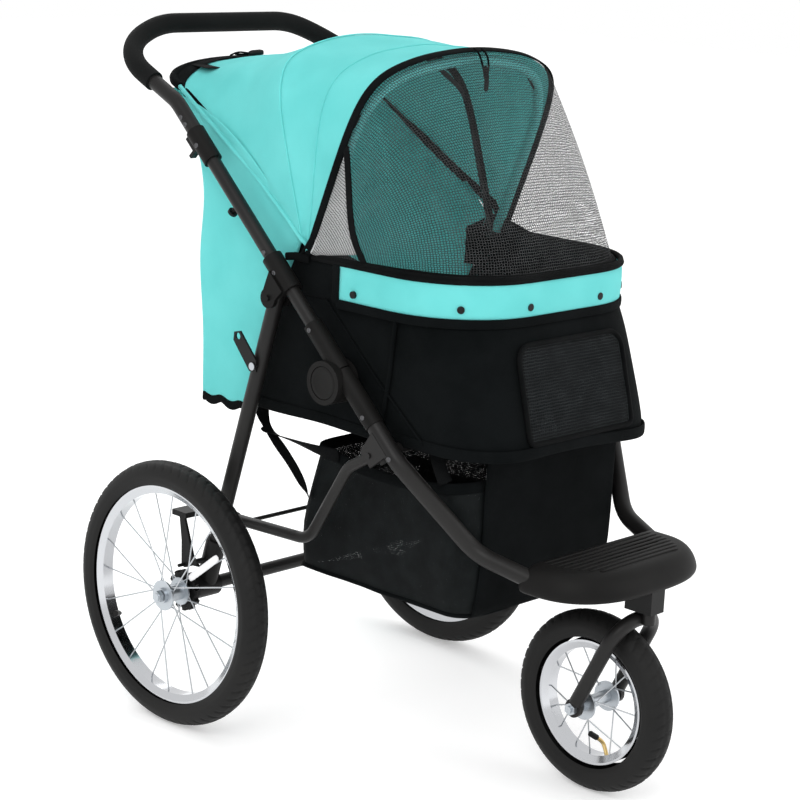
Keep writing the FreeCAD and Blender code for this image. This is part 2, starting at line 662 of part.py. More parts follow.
doc.recompute()
for item in doc.Objects:
    if "Invalid" in item.State or "Error" in item.State:
        raise RuntimeError("%s failed: %s" % (item.Name, item.State))
os.makedirs("parts", exist_ok=True)
for label, item in SUB_PARTS.items():
    if item.Shape.isNull() or not item.Shape.isValid():
        raise RuntimeError("%s has no valid shape" % label)
    item.Shape.exportStep("parts/%s.step" % label)
    print(label, len(item.Shape.Solids), round(item.Shape.Volume / 1000, 1))
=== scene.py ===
import json
import math

import bpy
from mathutils import Matrix, Vector, noise


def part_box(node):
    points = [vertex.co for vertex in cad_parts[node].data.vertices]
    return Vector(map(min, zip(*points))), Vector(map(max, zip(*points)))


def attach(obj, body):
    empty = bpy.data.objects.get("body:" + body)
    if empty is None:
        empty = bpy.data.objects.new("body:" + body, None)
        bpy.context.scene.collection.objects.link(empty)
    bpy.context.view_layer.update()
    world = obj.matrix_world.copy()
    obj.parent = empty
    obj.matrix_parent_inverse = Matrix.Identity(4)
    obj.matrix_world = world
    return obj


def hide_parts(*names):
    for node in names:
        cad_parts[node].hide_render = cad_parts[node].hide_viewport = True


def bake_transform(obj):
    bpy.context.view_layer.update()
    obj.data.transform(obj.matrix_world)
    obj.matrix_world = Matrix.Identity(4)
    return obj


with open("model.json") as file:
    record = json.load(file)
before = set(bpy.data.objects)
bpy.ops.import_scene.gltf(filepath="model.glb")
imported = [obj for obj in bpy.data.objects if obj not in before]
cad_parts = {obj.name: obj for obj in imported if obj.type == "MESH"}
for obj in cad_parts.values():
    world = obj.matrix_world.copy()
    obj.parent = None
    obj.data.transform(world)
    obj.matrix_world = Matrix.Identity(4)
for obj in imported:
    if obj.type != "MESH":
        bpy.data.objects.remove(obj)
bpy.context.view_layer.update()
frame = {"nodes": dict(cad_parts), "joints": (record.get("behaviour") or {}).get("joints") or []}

# Lengths below are millimetres from the middle of the rear axle line, as the part is
# measured; at() turns them into metres in the shared frame.
NODES = frame["nodes"]
JOINTS = {joint["name"]: joint for joint in frame["joints"]}
AXLE_Y = JOINTS["rear_wheel_right_spin"]["pos_m"][1]
HINGE = JOINTS["main_fold"]["pos_m"]
SIDES = (("right", -1), ("left", 1))
TUBE_SIDE = 220              # side tubes' middle, from the centre plane
TUBE_SLOPE = math.radians(42.9)
TUBE_OFFSET = 21             # side tubes' middle, off the main hinge's pin
CABIN = 194                  # half the cabin's width
CANOPY_PIVOT = (-165, 698)
FRONT_LEAN = math.radians(-21)
MID_LEAN = math.radians(17.5)
RISE = 306                   # top of the hoops above the canopy's pivot


def at(x, y, z):
    return Vector((x / 1000, y / 1000 + AXLE_Y, z / 1000))


CABIN_MIDDLE = at(0, -60, 780)
UP = Vector((0, 0, 1))


def along(u, x):
    """A point u along a side tube, measured from the main hinge."""
    y = (HINGE[1] - AXLE_Y) * 1000 + u * math.cos(TUBE_SLOPE) - TUBE_OFFSET * math.sin(TUBE_SLOPE)
    z = HINGE[2] * 1000 + u * math.sin(TUBE_SLOPE) + TUBE_OFFSET * math.cos(TUBE_SLOPE)
    return at(x, y, z)


# ---------------------------------------------------------------- materials

def new_material(name, color, roughness, metallic=0.0, specular=0.5):
    material = bpy.data.materials.new(name)
    material.use_nodes = True
    shader = material.node_tree.nodes["Principled BSDF"]
    shader.inputs["Base Color"].default_value = (*color, 1)
    shader.inputs["Roughness"].default_value = roughness
    shader.inputs["Metallic"].default_value = metallic
    shader.inputs["Specular IOR Level"].default_value = specular
    return material, material.node_tree, shader


def place_node(tree, kind, **values):
    node = tree.nodes.new(kind)
    for key, value in values.items():
        if key in node.inputs:
            node.inputs[key].default_value = value
        else:
            setattr(node, key, value)
    return node


def noise_from(tree, source, scale, detail=3.0):
    made = place_node(tree, "ShaderNodeTexNoise", Scale=scale, Detail=detail, Roughness=0.55)
    tree.links.new(source, made.inputs["Vector"])
    return made.outputs["Fac"]


def vary_color(tree, shader, factor, dark, light):
    ramp = tree.nodes.new("ShaderNodeValToRGB")
    ramp.color_ramp.elements[0].position = 0.35
    ramp.color_ramp.elements[0].color = (*dark, 1)
    ramp.color_ramp.elements[1].position = 0.65
    ramp.color_ramp.elements[1].color = (*light, 1)
    tree.links.new(factor, ramp.inputs["Fac"])
    tree.links.new(ramp.outputs["Color"], shader.inputs["Base Color"])


def vary_roughness(tree, shader, factor, low, high):
    spread = place_node(tree, "ShaderNodeMapRange")
    spread.inputs["To Min"].default_value = low
    spread.inputs["To Max"].default_value = high
    tree.links.new(factor, spread.inputs["Value"])
    tree.links.new(spread.outputs["Result"], shader.inputs["Roughness"])


def add_bump(tree, shader, height, strength, distance):
    bump = place_node(tree, "ShaderNodeBump", Strength=strength, Distance=distance)
    tree.links.new(height, bump.inputs["Height"])
    if shader.inputs["Normal"].is_linked:
        tree.links.new(shader.inputs["Normal"].links[0].from_socket, bump.inputs["Normal"])
    tree.links.new(bump.outputs["Normal"], shader.inputs["Normal"])


def coordinates(tree, which):
    return tree.nodes.new("ShaderNodeTexCoord").outputs[which]


def grained(name, dark, light, roughness, grain, depth, specular=0.5):
    """Paint, plastic, foam or rubber: soft colour variation and a fine surface grain."""
    material, tree, shader = new_material(name, light, roughness, 0, specular)
    place = coordinates(tree, "Object")
    broad = noise_from(tree, place, 9)
    vary_color(tree, shader, broad, dark, light)
    vary_roughness(tree, shader, broad, roughness - 0.08, roughness + 0.08)
    add_bump(tree, shader, noise_from(tree, place, grain, 2), 0.5, depth)
    return material


def thread_wave(tree, source, direction, pitch):
    wave = place_node(tree, "ShaderNodeTexWave", bands_direction=direction, Scale=0.314 / pitch)
    tree.links.new(source, wave.inputs["Vector"])
    return wave.outputs["Fac"]


def woven(name, dark, light, pitch, depth, sheen, roughness=0.85, through=0.0):
    """Plain woven cloth: two crossed sets of threads over soft creases.

    pitch is a thread's width, and through the share of light that the cloth lets pass."""
    material, tree, shader = new_material(name, light, roughness, 0, 0.035)
    shader.inputs["Sheen Weight"].default_value = sheen
    shader.inputs["Sheen Roughness"].default_value = 0.5
    place = coordinates(tree, "UV")
    solid = coordinates(tree, "Object")
    vary_color(tree, shader, noise_from(tree, solid, 14, 4), dark, light)
    warp = thread_wave(tree, place, "X", pitch)
    weft = thread_wave(tree, place, "Y", pitch)
    cross = place_node(tree, "ShaderNodeMath", operation="MULTIPLY")
    tree.links.new(warp, cross.inputs[0])
    tree.links.new(weft, cross.inputs[1])
    add_bump(tree, shader, cross.outputs[0], 0.6, depth)
    add_bump(tree, shader, noise_from(tree, solid, 22, 3), 0.35, 0.004)
    if through:
        faded = [0.35 + 0.62 * part for part in light]
        glow = place_node(tree, "ShaderNodeBsdfTranslucent", Color=(*faded, 1))
        mixed = place_node(tree, "ShaderNodeMixShader", Fac=through)
        tree.links.new(shader.outputs[0], mixed.inputs[1])
        tree.links.new(glow.outputs[0], mixed.inputs[2])
        tree.links.new(mixed.outputs[0], tree.nodes["Material Output"].inputs["Surface"])
    return material


def netting(name, color, cell, thread):
    """Knitted net: holes one cell apart between threads, open right through."""
    material, tree, shader = new_material(name, color, 0.75, 0, 0.08)
    place = coordinates(tree, "UV")
    cells = place_node(tree, "ShaderNodeTexVoronoi", voronoi_dimensions="2D",
                       feature="DISTANCE_TO_EDGE", Scale=1 / cell, Randomness=0.35)
    tree.links.new(place, cells.inputs["Vector"])
    hole = place_node(tree, "ShaderNodeMapRange")
    soft_edge = 0.06
    hole.inputs["From Min"].default_value = thread
    hole.inputs["From Max"].default_value = thread + soft_edge
    hole.inputs["To Min"].default_value = 1
    hole.inputs["To Max"].default_value = 0
    tree.links.new(cells.outputs["Distance"], hole.inputs["Value"])
    tree.links.new(hole.outputs["Result"], shader.inputs["Alpha"])
    add_bump(tree, shader, cells.outputs["Distance"], 0.5, 0.0004)
    vary_color(tree, shader, noise_from(tree, coordinates(tree, "Object"), 40), color,
               tuple(1.6 * c for c in color))
    return material


def polished(name, color, roughness, spread):
    """Bare metal with slightly uneven gloss."""
    material, tree, shader = new_material(name, color, roughness, 1.0)
    place = coordinates(tree, "Object")
    vary_roughness(tree, shader, noise_from(tree, place, 60), roughness, roughness + spread)
    add_bump(tree, shader, noise_from(tree, place, 240, 2), 0.06, 0.0004)
    return material


PAINT = grained("frame_paint", (0.008, 0.0075, 0.0075), (0.012, 0.0115, 0.011), 0.42,
                grain=900, depth=0.00025, specular=0.22)
PLASTIC = grained("moulded_plastic", (0.006, 0.0058, 0.0056), (0.009, 0.0087, 0.0084), 0.5,
                  grain=1400, depth=0.0002, specular=0.09)
DARK_PLASTIC = grained("dark_plastic", (0.004, 0.004, 0.004), (0.007, 0.007, 0.007), 0.45,
                       grain=1200, depth=0.0002, specular=0.18)
FOAM = grained("grip_foam", (0.004, 0.0045, 0.0045), (0.007, 0.0075, 0.0075), 0.8,
               grain=1500, depth=0.0006, specular=0.1)
RUBBER = grained("tyre_rubber", (0.006, 0.006, 0.006), (0.010, 0.0098, 0.0095), 0.62,
                 grain=700, depth=0.0003, specular=0.2)
WHITE = grained("reflector_white", (0.72, 0.72, 0.73), (0.84, 0.84, 0.85), 0.35,
                grain=500, depth=0.0002)
CHROME = polished("rim_chrome", (0.54, 0.55, 0.57), 0.09, 0.1)
STEEL = polished("spoke_steel", (0.5, 0.52, 0.54), 0.24, 0.12)
ZINC = polished("zinc_steel", (0.46, 0.49, 0.52), 0.28, 0.16)
DARK_SCREW = polished("black_screw", (0.10, 0.10, 0.105), 0.38, 0.15)
BRASS = polished("valve_brass", (0.72, 0.52, 0.22), 0.25, 0.12)
TEAL = woven("teal_cloth", (0.175, 0.74, 0.725), (0.21, 0.805, 0.79),
             pitch=0.0008, depth=0.0003, sheen=0.08, through=0.32)
PALE = woven("pale_lining", (0.60, 0.62, 0.62), (0.72, 0.73, 0.73),
             pitch=0.0016, depth=0.0004, sheen=0.05)
BLACK = woven("black_cloth", (0.0022, 0.003, 0.0032), (0.0042, 0.0052, 0.0056),
              pitch=0.0009, depth=0.0004, sheen=0.008)
WEBBING = woven("webbing", (0.0025, 0.003, 0.0032), (0.006, 0.0065, 0.0068),
                pitch=0.0022, depth=0.0008, sheen=0.008, roughness=0.75)
NET = netting("window_net", (0.026, 0.027, 0.0275), cell=0.0040, thread=0.098)
BASKET_NET = netting("basket_net", (0.004, 0.005, 0.0052), cell=0.0028, thread=0.43)
PANEL_NET = netting("panel_net", (0.010, 0.0115, 0.012), cell=0.0042, thread=0.16)


# ---------------------------------------------------------------- mesh helpers

def ride(made, body):
    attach(made, body)
    return made


def sew(made):
    """Fixes a piece of black cloth or webbing to the cabin."""
    return ride(made, "front_frame")


def link_mesh(name, points, faces, material, uvs=None):
    mesh = bpy.data.meshes.new(name)
    mesh.from_pydata([tuple(point) for point in points], [], faces)
    mesh.materials.append(material)
    if uvs:
        layer = mesh.uv_layers.new(name="metres")
        for loop in mesh.loops:
            layer.data[loop.index].uv = uvs[loop.vertex_index]
    for polygon in mesh.polygons:
        polygon.use_smooth = True
    mesh.update()
    made = bpy.data.objects.new(name, mesh)
    bpy.context.scene.collection.objects.link(made)
    return made


def surface(rows, round_trip=False):
    """Points, faces and UVs in metres of a surface through rows of points."""
    across = len(rows[0])
    points = [point for row in rows for point in row]
    uvs = []
    v = 0.0
    for index, row in enumerate(rows):
        if index:
            before = rows[index - 1]
            v += (row[across // 2] - before[across // 2]).length
        u = 0.0
        for place, point in enumerate(row):
            if place:
                u += (point - row[place - 1]).length
            uvs.append((u, v))
    faces = []
    for index in range(len(rows) - 1):
        for place in range(across - 1):
            first = index * across + place
            faces.append((first, first + 1, first + across + 1, first + across))
        if round_trip:
            first, last = index * across, index * across + across - 1
            faces.append((last, first, first + across, last + across))
    return points, faces, uvs


def end_caps(rows):
    """Faces that close the first and the last row of a round surface."""
    across = len(rows[0])
    last = (len(rows) - 1) * across
    return [tuple(range(across - 1, -1, -1)), tuple(range(last, last + across))]


def smoothed(made, levels=1):
    smooth = made.modifiers.new("smooth", "SUBSURF")
    smooth.levels = smooth.render_levels = levels


def grid(name, rows, material, thick=0.0, levels=0, round_trip=False):
    """A cloth-like piece through rows of points, thickened on its inner side."""
    points, faces, uvs = surface(rows, round_trip)
    made = link_mesh(name, points, faces, material, uvs)
    if thick:
        solid = made.modifiers.new("thickness", "SOLIDIFY")
        solid.thickness = thick
    if levels:
        smoothed(made, levels)
    return made


def curve_tube(name, points, radius, material, closed=False):
    curve = bpy.data.curves.new(name, "CURVE")
    curve.dimensions = "3D"
    curve.bevel_depth = radius
    curve.bevel_resolution = 3
    curve.resolution_u = 4
    curve.use_fill_caps = True
    spline = curve.splines.new("NURBS")
    spline.points.add(len(points) - 1)
    for place, point in zip(spline.points, points):
        place.co = (*point, 1)
    spline.order_u = 3
    spline.use_endpoint_u = not closed
    spline.use_cyclic_u = closed
    curve.materials.append(material)
    made = bpy.data.objects.new(name, curve)
    bpy.context.scene.collection.objects.link(made)
    return made


def ribbon(name, points, across, width, thick, material):
    """A flat band along points; across is its width direction, or one for each point."""
    rows = []
    for index, point in enumerate(points):
        before, after = points[max(index - 1, 0)], points[min(index + 1, len(points) - 1)]
        run = (after - before).normalized()
        side = across[index] if isinstance(across, list) else across
        side = (side - run * side.dot(run)).normalized()
        out = run.cross(side).normalized() * (thick / 2)
        side = side * (width / 2)
        rows.append([point + side * 0.98 + out, point - side * 0.98 + out, point - side,
                     point - side * 0.98 - out, point + side * 0.98 - out, point + side])
    corners, faces, uvs = surface(rows, True)
    made = link_mesh(name, corners, faces + end_caps(rows), material, uvs)
    smoothed(made)
    return made


def lathe(name, profile, centre, axis, material, steps=48):
    """A turned piece: profile of (distance along the axis, radius) corners, in mm."""
    turn = axis.normalized().to_track_quat("Z", "Y").to_matrix()
    rows = []
    for along_axis, radius in profile:
        ring = []
        for step in range(steps):
            angle = 2 * math.pi * step / steps
            local = Vector((radius * math.cos(angle), radius * math.sin(angle), along_axis))
            ring.append(centre + turn @ local / 1000)
        rows.append(ring)
    return grid(name, rows, material, round_trip=True)


def resample(points, count):
    lengths = [0.0]
    for first, second in zip(points, points[1:]):
        lengths.append(lengths[-1] + (second - first).length)
    result = []
    index = 0
    for step in range(count):
        target = lengths[-1] * step / (count - 1)
        while index < len(points) - 2 and lengths[index + 1] < target:
            index += 1
        span = lengths[index + 1] - lengths[index]
        share = (target - lengths[index]) / span if span else 0
        result.append(points[index].lerp(points[index + 1], share))
    return result


def soften(points, times=2):
    """Cuts corners, keeping the two ends."""
    for _ in range(times):
        cut = [points[0]]
        for first, second in zip(points, points[1:]):
            cut += [first.lerp(second, 0.25), first.lerp(second, 0.75)]
        points = cut + [points[-1]]
    return points


def crease(point, scale, depth, seed=0.0):
    """A small repeatable offset that reads as soft folds in cloth."""
    spot = Vector((point.x * scale, point.y * scale, point.z * scale + seed))
    return noise.noise(spot) * depth / 1000


# ---------------------------------------------------------------- canopy

ARCH = ((-1.0, 0.0), (-1.0, 0.25), (-1.0, 0.52), (-0.985, 0.68), (-0.94, 0.80), (-0.84, 0.885),
        (-0.65, 0.94), (-0.4, 0.978), (0.0, 1.0))


def arch(lean, rise, half, start, count):
    """The canopy's hoop shape, leaning from the pivot, from the right side to the left."""
    shape = [(-1.0, start)] + [pair for pair in ARCH if pair[1] > start]
    shape += [(-across, up) for across, up in reversed(shape[:-1])]
    points = []
    for across, up in shape:
        points.append(at(across * half, CANOPY_PIVOT[0] + up * rise * math.sin(lean),
                         CANOPY_PIVOT[1] + up * rise * math.cos(lean)))
    return resample(soften(points), count)


def rear_edge(half, count):
    """The canopy's rear edge, which is the rear panel's top."""
    points = []
    for step in range(count):
        angle = math.pi * step / (count - 1)
        bow = math.sin(angle)
        points.append(at(-math.cos(angle) * half, 112 + 84 * bow, 902 + 26 * bow))
    return resample(points, count)


def bulged(first, second, steps, sag, skip_last=True):
    """Rows of points from one line to another, pulled towards the canopy's pivot by sag mm."""
    middle = at(0, *CANOPY_PIVOT)
    rows = []
    for step in range(steps if skip_last else steps + 1):
        share = step / steps
        row = []
        for start, end in zip(first, second):
            point = start.lerp(end, share)
            pull = (middle - point).normalized()
            row.append(point + pull * (sag / 1000 * math.sin(math.pi * share)))
        rows.append(row)
    return rows


def blend_canopy(piece):
    """Bakes the transform of a piece between the cabin and the turning front hoop into its mesh."""
    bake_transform(piece)


def make_canopy():
    across = 61
    front = arch(FRONT_LEAN, RISE, CABIN + 6, 0.03, across)
    middle = arch(MID_LEAN, RISE, CABIN + 7, 0.08, across)
    rear = rear_edge(CABIN - 1, across)
    rows = bulged(front, middle, 14, 5) + bulged(middle, rear, 26, 9, False)
    for index, row in enumerate(rows):
        for place, point in enumerate(row):
            edge = min(index, len(rows) - 1 - index, 5) / 5
            out = (point - CABIN_MIDDLE).normalized()
            row[place] = point + out * crease(point, 11, 5.0 * edge)
    cloth = grid("canopy_cloth", rows, TEAL, 0.0018, 1)
    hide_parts("canopy_top")
    blend_canopy(cloth)
    make_hoop_covers(rear)
    make_canopy_seams(rows)
    make_rear_pad(rows)


HOOP_SIDE = ((1, 0.02), (1, 0.55), (0.97, 0.72), (0.84, 0.86), (0.6, 0.945), (0, 0.998))


def make_hoop_covers(rear):
    """Cloth sewn round the two hoops and along the rear edge."""
    normal = Vector((0, math.cos(FRONT_LEAN), -math.sin(FRONT_LEAN)))
    whole = arch(FRONT_LEAN, RISE + 1, CABIN + 6.5, 0.0, 81)
    ahead = [point - normal * 0.0025 for point in whole]
    band = ribbon("front_hoop_binding", ahead, normal, 0.0125, 0.003, BLACK)
    ride(band, "canopy")
    wide, tall = CABIN - 8, RISE - 14
    for name, side in SIDES:
        line = [at(side * part * wide, CANOPY_PIVOT[0] + up * tall * math.sin(FRONT_LEAN),
                   CANOPY_PIVOT[1] + up * tall * math.cos(FRONT_LEAN)) for part, up in HOOP_SIDE]
        sleeve = curve_tube("front_hoop_sleeve_" + name, soften(line), 0.0075, TEAL)
        ride(sleeve, "canopy")
    inner = arch(MID_LEAN, RISE - 20, CABIN - 13, 0.03, 61)
    ride(curve_tube("mid_hoop_sleeve", inner, 0.0058, BLACK), "canopy_mid")
    sew(curve_tube("rear_edge_binding", rear, 0.006, BLACK))


def on_cloth(rows, share, across, lift):
    """A point lift above a cloth of rows: share runs through the rows, across along them."""
    along_row = across * (len(rows[0]) - 1)
    through = share * (len(rows) - 1)
    index = min(int(through), len(rows) - 2)
    place = min(int(along_row), len(rows[0]) - 2)
    first, second = rows[index], rows[index + 1]
    point = first[place].lerp(first[place + 1], along_row - place)
    following = second[place].lerp(second[place + 1], along_row - place)
    point = point.lerp(following, through - index)
    return point + (point - CABIN_MIDDLE).normalized() * lift


def make_canopy_seams(rows):
    """Stitched seams over the canopy, and its piped and taped lower edges."""
    for name, share in (("hoop", 0.35), ("front", 0.155)):
        points = [on_cloth(rows, share, 0.01 + 0.98 * step / 60, 0.0004) for step in range(61)]
        blend_canopy(tube_mesh("canopy_seam_" + name, points, 0.0011, TEAL))
    for name, across in (("right", 0.0), ("left", 1.0)):
        points = [on_cloth(rows, step / 40, across, 0.0006) for step in range(41)]
        blend_canopy(tube_mesh("canopy_piping_" + name, points, 0.0032, TEAL))
    for name, across in (("right", 0.02), ("left", 0.98)):
        points = [on_cloth(rows, 0.04 + 0.94 * step / 30, across, -0.004) for step in range(31)]
        tape = ribbon("inside_tape_" + name, points, Vector((0, 0.5, -1)), 0.014, 0.002, WEBBING)
        blend_canopy(tape)


def make_rear_pad(rows):
    """The black pad on the canopy's rear edge, with its tape, cord loop and toggle."""
    pad_rows = []
    for share, lift in ((1.0, 0.0008), (0.985, 0.0035), (0.96, 0.0035), (0.94, 0.0008)):
        pad_rows.append([on_cloth(rows, share, 0.06 + 0.88 * step / 50, lift)
                         for step in range(51)])
    sew(grid("rear_pad", pad_rows, BLACK, 0.002, 1))
    tape = [on_cloth(rows, share, 0.27, 0.003) for share in (0.99, 0.95, 0.9, 0.85)]
    sew(ribbon("rear_tape", resample(tape, 8), Vector((1, 0, 0)), 0.03, 0.002, WEBBING))
    knot = on_cloth(rows, 0.93, 0.44, 0.004)
    loop = [knot + Vector(step) / 1000 for step in ((-14, 6, 1), (-8, -4, 7), (4, -10, 6),
                                                    (14, -14, 4), (6, -6, 3), (-6, 4, 3))]
    sew(curve_tube("rear_loop", soften(loop), 0.0014, WEBBING))
    profile = [(-12, 0.01), (-11, 3.2), (-6, 4.6), (6, 4.6), (11, 3.2), (12, 0.01)]
    ride(lathe("rear_toggle", profile, knot + Vector((0.018, -0.016, 0.006)),
               Vector((1, -0.4, 0.1)), DARK_PLASTIC, 20), "front_frame")


def tube_mesh(name, points, radius, material):
    """A thin round tube along points, made as a mesh."""
    sides = 8
    rows = []
    for index, point in enumerate(points):
        run = (points[min(index + 1, len(points) - 1)] - points[max(index - 1, 0)]).normalized()
        side = run.cross(Vector((0.31, 0.17, 0.93))).normalized()
        up = run.cross(side)
        ring = []
        for step in range(sides):
            angle = 2 * math.pi * step / sides
            ring.append(point + (side * math.cos(angle) + up * math.sin(angle)) * radius)
        rows.append(ring)
    return grid(name, rows, material, round_trip=True)


def rim_line(count, half, front_y, rear_y, z):
    """U-shaped line round the cabin's front, from the right side to the left."""
    points = []
    for step in range(61):
        angle = math.pi * step / 60
        x = -math.copysign(abs(math.cos(angle)) ** 0.55, math.cos(angle)) * half
        points.append(at(x, rear_y + (front_y - rear_y) * math.sin(angle) ** 0.75, z))
    return resample(points, count)


def make_window():
    across = 71
    top = arch(FRONT_LEAN, RISE - 2, CABIN + 5.5, 0.03, across)
    top = [point + Vector((0, -0.006, 0)) for point in top]
    low = rim_line(across, CABIN + 6, -454, -192, 703)
    rows = []
    steps = 16
    for step in range(steps + 1):
        share = step / steps
        row = []
        for start, end in zip(top, low):
            point = start.lerp(end, share)
            out = Vector((point.x, point.y - at(0, -200, 0).y, 0)).normalized()
            row.append(point + out * (0.006 * math.sin(math.pi * share)))
        rows.append(row)
    net = grid("window_net", rows, NET, 0, 1)
    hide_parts("mesh_window")
    ride(net, "canopy")
    raised = [point + Vector((0, 0, 0.001)) for point in low]
    ride(curve_tube("window_zip_upper", raised, 0.0036, WEBBING), "canopy")
    make_net_corner(rows)


def make_net_corner(rows):
    """A pale patch behind the net's lower right corner, with a taped front edge."""
    patch = []
    line = []
    widths = []
    steps = 14
    for step in range(steps + 1):
        share = step / steps
        edge = 0.186 - 0.079 * share - 0.022 * math.sin(math.pi * share)
        patch.append([on_cloth(rows, 0.86 * share, edge * part / 6, -0.002)
                      for part in range(7)])
        line.append(on_cloth(rows, share, edge, 0.0015))
        widths.append(on_cloth(rows, share, edge * 1.2, 0.0015) - line[-1])
    ride(grid("net_patch", patch, PALE, 0.001), "canopy")
    ride(ribbon("net_tape", line, widths, 0.011, 0.002, WEBBING), "canopy")


make_canopy()
make_window()


# ---------------------------------------------------------------- rear panel

# Corners (y, z) of the panel's back in the centre plane, and the ends of its front edge.
BACK = ((50, 466), (54, 540), (57, 620), (57, 700), (62, 750), (74, 805), (104, 862), (150, 897))
FRONT_EDGE = ((-48, 466), (-146, 724))


def panel_row(front, rear, half, arched):
    """One level of the rear panel, round the cabin from its right front edge to its left."""
    corner, side_steps, corner_steps, back_steps = 9, 12, 4, 20
    row = []
    for index in range(side_steps):
        part = index / side_steps
        y = front.y + (rear.y - corner - front.y) * part
        z = front.z + (rear.z - front.z) * part
        row.append((-half, y, z + arched * math.sin(math.pi * part)))
    for index in range(corner_steps):
        angle = math.pi / 2 * index / corner_steps
        row.append((-half + corner * (1 - math.cos(angle)),
                    rear.y - corner * (1 - math.sin(angle)), rear.z))
    right = list(row)
    for index in range(back_steps + 1):
        part = index / back_steps
        x = (-half + corner) * (1 - 2 * part)
        row.append((x, rear.y + 5 * math.sin(math.pi * part), rear.z))
    return row + [(-x, y, z) for x, y, z in reversed(right)]


def make_rear_panel():
    levels = 19
    back = resample(soften([Vector((0, y, z)) for y, z in BACK]), levels)
    low, high = (Vector((0, y, z)) for y, z in FRONT_EDGE)
    rows = []
    for step in range(levels):
        share = step / (levels - 1)
        fade = math.sin(math.pi * min(max(share, 0.05), 0.95))
        points = []
        for x, y, z in panel_row(low.lerp(high, share), back[step], CABIN - 4 * share,
                                 36 * share ** 3):
            point = at(x, y, z)
            out = Vector((x / 200, max(y, 0) / 60, 0)).normalized()
            points.append(point + out * crease(point, 9, 7 * fade, 3.1))
        rows.append(points)
    panel = grid("rear_panel_cloth", rows, TEAL, 0.0018, 1)
    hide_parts("rear_panel")
    ride(panel, "front_frame")
    hem = [point + Vector((0, 0, -0.002)) for point in rows[0]]
    for index, point in enumerate(hem):
        point.z += 0.004 * math.sin(index * 1.1)
    sew(ribbon("rear_panel_hem", hem, UP, 0.014, 0.004, BLACK))
    for name, end in (("right", 0), ("left", -1)):
        edge = [row[end] for row in rows]
        ride(curve_tube("panel_piping_" + name, edge, 0.003, TEAL), "front_frame")


make_rear_panel()


# ---------------------------------------------------------------- cabin tub

# Heights, with the front face's y and the front corners' radius at each.
TUB_LEVELS = ((480, -502, 92), (520, -494, 97), (570, -480, 103), (610, -469, 108),
              (648, -453, 114))
RIM_END = -228


def tub_row(z, front, corner, rear, half=CABIN, inset=0.0, bulge=0.0):
    """U-shaped level round the cabin's front, with rounded corners, from right to left."""
    side_steps, corner_steps, front_steps = 10, 8, 12
    half, front = half - inset, front + inset
    right = []
    for index in range(side_steps):
        part = index / side_steps
        y = rear + (front + corner - rear) * part
        right.append((-half - bulge * math.sin(math.pi * part), y, z))
    for index in range(corner_steps + 1):
        angle = math.pi / 2 * index / corner_steps
        right.append((-half + corner * (1 - math.cos(angle)),
                      front + corner * (1 - math.sin(angle)), z))
    width = half - corner
    middle = [(-width + 2 * width * index / front_steps, front - bulge, z)
              for index in range(1, front_steps)]
    return right + middle + [(-x, y, z) for x, y, z in reversed(right)]


def make_tub():
    """The cabin's black cloth wall, its underside and its bound lower edge."""
    rows = []
    (low_y, low_z), (high_y, high_z) = FRONT_EDGE
    for z, front, corner in TUB_LEVELS:
        rear = low_y + (high_y - low_y) * (z - low_z) / (high_z - low_z) + 3
        places = [at(*point) for point in tub_row(z, front, corner, rear, bulge=1.5)]
        rows.append([place + Vector((0, 0, crease(place, 12, 3, 7))) for place in places])
    wall = grid("tub_wall", rows, BLACK, 0.003, 2)
    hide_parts("cabin_tub")
    sew(wall)
    floor_rows = [[at(*point) for point in tub_row(481, -500 + inset, 90, 40, CABIN - 2, inset)]
                  for inset in (0, 40, 100, 150)]
    sew(grid("tub_underside", floor_rows, BLACK, 0.003))
    hem = []
    for x, y, z in tub_row(479, -504, 92, -45, CABIN + 1):
        droop = 12 * max(0, x / CABIN) ** 2 * min(1, max(0, -y - 250) / 200)
        hem.append(at(x, y, z - droop + 1.5 * math.sin(y / 31 + x / 43)))
    sew(ribbon("tub_hem", hem, UP, 0.016, 0.004, BLACK))


def tub_front(x, z, proud):
    """A point proud of the tub's front face."""
    for (z_low, y_low, _), (z_high, y_high, _) in zip(TUB_LEVELS, TUB_LEVELS[1:]):
        if z <= z_high:
            break
    share = (z - z_low) / (z_high - z_low)
    return at(x, y_low + (y_high - y_low) * share - proud, z)


def make_front_panel():
    """The net panel in the tub's front, with large upper and small lower corners."""
    half, low, high, corner, tight = 106, 490, 616, 22, 8
    outline = []
    for across, up, radius, begin in ((1, high - corner, corner, 0), (-1, high - corner, corner, 90),
                                      (-1, low + tight, tight, 180), (1, low + tight, tight, 270)):
        for step in range(7):
            angle = math.radians(begin + 15 * step)
            outline.append((across * (half - radius) + radius * math.cos(angle),
                            up + radius * math.sin(angle)))
    frame_line = resample([tub_front(x, z, 3.0) for x, z in outline + outline[:1]], 90)
    sew(curve_tube("panel_binding", frame_line[:-1], 0.0036, WEBBING, closed=True))
    rows = []
    for step in range(15):
        z = low + 2 + (high - low - 4) * step / 14
        above = max(0, z - (high - corner)) / corner
        width = half - 2 - corner * (1 - math.sqrt(max(0, 1 - above ** 2)))
        rows.append([tub_front(-width + 2 * width * index / 20, z, 2.5) for index in range(21)])
    ride(grid("panel_net", rows, PANEL_NET), "front_frame")


def make_tub_seams():
    """Raised seams and cords on the tub's two sides."""
    runs = (("seam", 0.0016, ((197.5, -205, 646), (197.5, -300, 560), (197.5, -395, 484))),
            ("rib", 0.003, ((198.5, -338, 646), (198.5, -330, 560), (198, -318, 486))))
    for name, side in SIDES:
        for kind, radius, stops in runs:
            points = resample([at(side * x, y, z) for x, y, z in stops], 12)
            sew(curve_tube("tub_%s_%s" % (kind, name), points, radius, BLACK))


